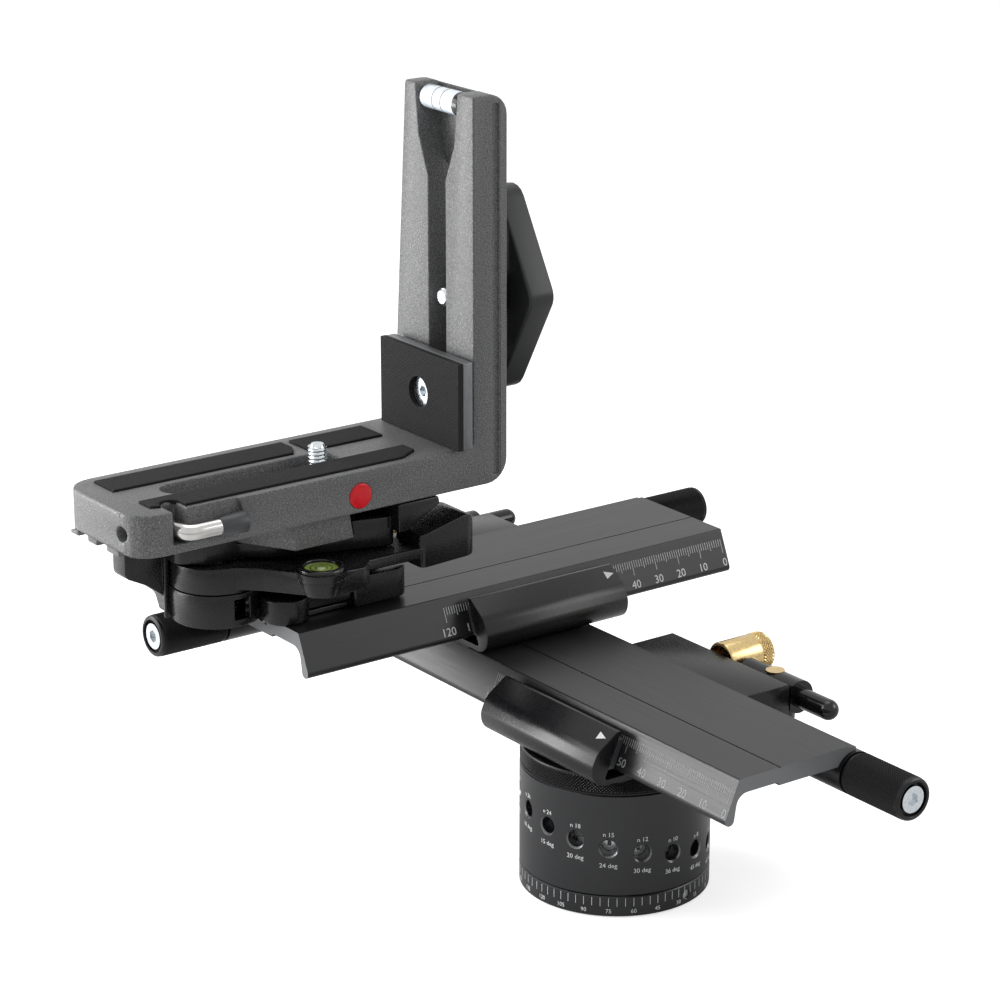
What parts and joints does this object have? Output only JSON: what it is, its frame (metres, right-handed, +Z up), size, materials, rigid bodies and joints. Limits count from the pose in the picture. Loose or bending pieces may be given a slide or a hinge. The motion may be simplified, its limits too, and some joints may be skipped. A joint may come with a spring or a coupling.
{
  "type": "panoramic tripod head",
  "caption": "Panoramic tripod head: indexed turning base, two crossed scaled slides, quick release clamp and an elbow bracket for a camera.",
  "frame": {"origin": "mouth of the tripod socket, at the centre of the base's underside", "axes": "+Z up along the turning axis, +X along the lower slide towards its zero end, +Y along the upper slide towards the bracket's arm"},
  "size_m": [0.2579, 0.2654, 0.254],
  "materials": {
    "drum_black": "satin black anodised",
    "slide_black": "satin black anodised",
    "knurl_black": "black anodised, diamond knurled",
    "casting_black": "speckled grainy black die casting",
    "clamp_black": "glossy black grainy casting",
    "steel": "turned",
    "polished_steel": "polished",
    "zinc": "bright zinc",
    "brass": "polished",
    "rubber": "matt ribbed",
    "plastic_black": "satin",
    "plastic_grey": "satin",
    "level_yellow": "clear, gloss",
    "level_white": "clear, gloss",
    "badge_red": "gloss"
  },
  "bodies": {
    "base": {"base_plate": "drum_black", "spindle": "steel", "index_rings": "steel", "bearing_washer": "brass", "retaining_washer": "steel", "pan_bolt": "steel"},
    "ring": {"scale_ring": "drum_black", "ring_set_screw": "steel"},
    "turret": {"index_drum": "drum_black", "plunger_bush": "brass", "platform_disc": "knurl_black", "platform_screws": "zinc", "lower_carriage": "slide_black", "lower_glide_strip": "plastic_grey", "lower_lever_pin": "brass"},
    "plunger": {"plunger_pin": "steel", "plunger_knob": "knurl_black"},
    "lower_plate": {"lower_slide_plate": "slide_black", "lower_end_bushes": "knurl_black", "upper_carriage": "slide_black", "upper_glide_strip": "plastic_grey", "upper_lever_pin": "brass"},
    "upper_plate": {"upper_slide_plate": "slide_black", "upper_end_bushes": "knurl_black", "clamp_body": "clamp_black", "lever_pivot": "steel", "torsion_spring": "steel", "quick_plate": "casting_black", "elbow_bracket": "casting_black", "front_pad": "rubber", "rear_pads": "rubber", "arm_level": "level_white", "badge_disc": "badge_red"},
    "lower_screw": {"lower_lead_screw": "steel", "lower_screw_knobs": "knurl_black", "lower_knob_screws": "zinc"},
    "lower_nut": {"lower_half_nut": "brass"},
    "lower_lever": {"lower_release_lever": "plastic_black"},
    "lower_pad": {"lower_brake_pad": "rubber"},
    "lower_knob": {"lower_clamp_knob": "brass"},
    "upper_screw": {"upper_lead_screw": "steel", "upper_screw_knobs": "knurl_black", "upper_knob_screws": "zinc"},
    "upper_nut": {"upper_half_nut": "brass"},
    "upper_lever": {"upper_release_lever": "plastic_black"},
    "upper_pad": {"upper_brake_pad": "rubber"},
    "upper_knob": {"upper_clamp_knob": "brass"},
    "quick_lever": {"clamp_lever": "clamp_black", "level_ring": "clamp_black", "level_vial": "level_yellow"},
    "jaw": {"lock_jaw": "steel"},
    "bracket_screw": {"camera_screw": "zinc"},
    "stop": {"stop_lever": "polished_steel", "stop_cap": "plastic_grey"},
    "backstop": {"camera_plate": "casting_black", "plate_pad": "rubber", "plate_screw": "zinc"},
    "arm_slider": {"arm_washer": "steel"},
    "arm_knob": {"arm_screw": "zinc", "diamond_knob": "plastic_black"}
  },
  "joints": [
    {"name": "ring_turn", "type": "hinge", "parent": "base", "child": "ring", "pos_m": [0, 0, 0.0035], "axis": [0, 0, 1], "continuous": true},
    {"name": "pan", "type": "hinge", "parent": "base", "child": "turret", "pos_m": [0, 0, 0.03], "axis": [0, 0, 1], "continuous": true},
    {"name": "plunger_pull", "type": "slide", "parent": "turret", "child": "plunger", "axis": [-0.9982, 0.0593, 0], "range_m": [0, 0.003], "stiffness_N_per_m": 600, "springref_m": -0.002},
    {"name": "lower_slide", "type": "slide", "parent": "turret", "child": "lower_plate", "axis": [1, 0, 0], "range_m": [-0.0514, 0.066]},
    {"name": "lower_screw_turn", "type": "hinge", "parent": "lower_plate", "child": "lower_screw", "pos_m": [0, 0.02899, 0.05875], "axis": [1, 0, 0], "range_deg": [-9272, 11900]},
    {"name": "lower_release", "type": "hinge", "parent": "turret", "child": "lower_lever", "pos_m": [0.0159, 0.0546, 0.0604], "axis": [0, 0, 1], "range_deg": [-6, 0.5]},
    {"name": "lower_nut_pull", "type": "slide", "parent": "turret", "child": "lower_nut", "axis": [0, 1, 0], "range_m": [0, 0.000775], "stiffness_N_per_m": 300, "springref_m": -0.001},
    {"name": "lower_pad_press", "type": "slide", "parent": "turret", "child": "lower_pad", "axis": [0, 1, 0], "range_m": [0, 0.0005]},
    {"name": "lower_clamp_turn", "type": "hinge", "parent": "lower_pad", "child": "lower_knob", "pos_m": [-0.0066, 0.0594, 0.0631], "axis": [0, 1, 0], "range_deg": [-5, 190]},
    {"name": "upper_slide", "type": "slide", "parent": "lower_plate", "child": "upper_plate", "axis": [0, 1, 0], "range_m": [-0.0521, 0.065]},
    {"name": "upper_screw_turn", "type": "hinge", "parent": "upper_plate", "child": "upper_screw", "pos_m": [-0.10767, 0.0113, 0.0772], "axis": [0, 1, 0], "range_deg": [-9398, 11720]},
    {"name": "upper_release", "type": "hinge", "parent": "lower_plate", "child": "upper_lever", "pos_m": [-0.13328, 0.0272, 0.07885], "axis": [0, 0, 1], "range_deg": [-6, 0.5]},
    {"name": "upper_nut_pull", "type": "slide", "parent": "lower_plate", "child": "upper_nut", "axis": [-1, 0, 0], "range_m": [0, 0.000775], "stiffness_N_per_m": 300, "springref_m": -0.001},
    {"name": "upper_pad_press", "type": "slide", "parent": "lower_plate", "child": "upper_pad", "axis": [-1, 0, 0], "range_m": [0, 0.0005]},
    {"name": "upper_clamp_turn", "type": "hinge", "parent": "upper_pad", "child": "upper_knob", "pos_m": [-0.13808, 0.0047, 0.08155], "axis": [-1, 0, 0], "range_deg": [-5, 190]},
    {"name": "quick_lever_swing", "type": "hinge", "parent": "upper_plate", "child": "quick_lever", "pos_m": [-0.09218, -0.095, 0.103], "axis": [0, 0, 1], "range_deg": [-75, 0], "stiffness_Nm_per_rad": 0.05, "springref_deg": 17.19},
    {"name": "jaw_slide", "type": "slide", "parent": "upper_plate", "child": "jaw", "axis": [0, 1, 0], "range_m": [-0.00301, 0]},
    {"name": "camera_screw_slide", "type": "slide", "parent": "upper_plate", "child": "bracket_screw", "axis": [0, 1, 0], "range_m": [-0.053, 0.0015]},
    {"name": "stop_swing", "type": "hinge", "parent": "upper_plate", "child": "stop", "pos_m": [-0.0576, -0.1262, 0.1299], "axis": [1, 0, 0], "range_deg": [0, 90]},
    {"name": "backstop_slide", "type": "slide", "parent": "upper_plate", "child": "backstop", "axis": [0, 0, 1], "range_m": [0, 0.012]},
    {"name": "arm_screw_slide", "type": "slide", "parent": "upper_plate", "child": "arm_slider", "axis": [0, 0, 1], "range_m": [0, 0.04]},
    {"name": "arm_knob_turn", "type": "hinge", "parent": "arm_slider", "child": "arm_knob", "pos_m": [-0.0805, 0.013, 0.1835], "axis": [0, 1, 0], "continuous": true}
  ],
  "couplings": [
    {"joint": "lower_screw_turn", "follows": "lower_slide", "rad_per_m": 3141.6},
    {"joint": "lower_release", "follows": "lower_nut_pull", "rad_per_m": -112.5},
    {"joint": "lower_clamp_turn", "follows": "lower_pad_press", "rad_per_m": 6283},
    {"joint": "upper_screw_turn", "follows": "upper_slide", "rad_per_m": 3141.6},
    {"joint": "upper_release", "follows": "upper_nut_pull", "rad_per_m": -112.5},
    {"joint": "upper_clamp_turn", "follows": "upper_pad_press", "rad_per_m": 6283},
    {"joint": "jaw_slide", "follows": "quick_lever_swing", "m_per_rad": 0.0022918}
  ]
}
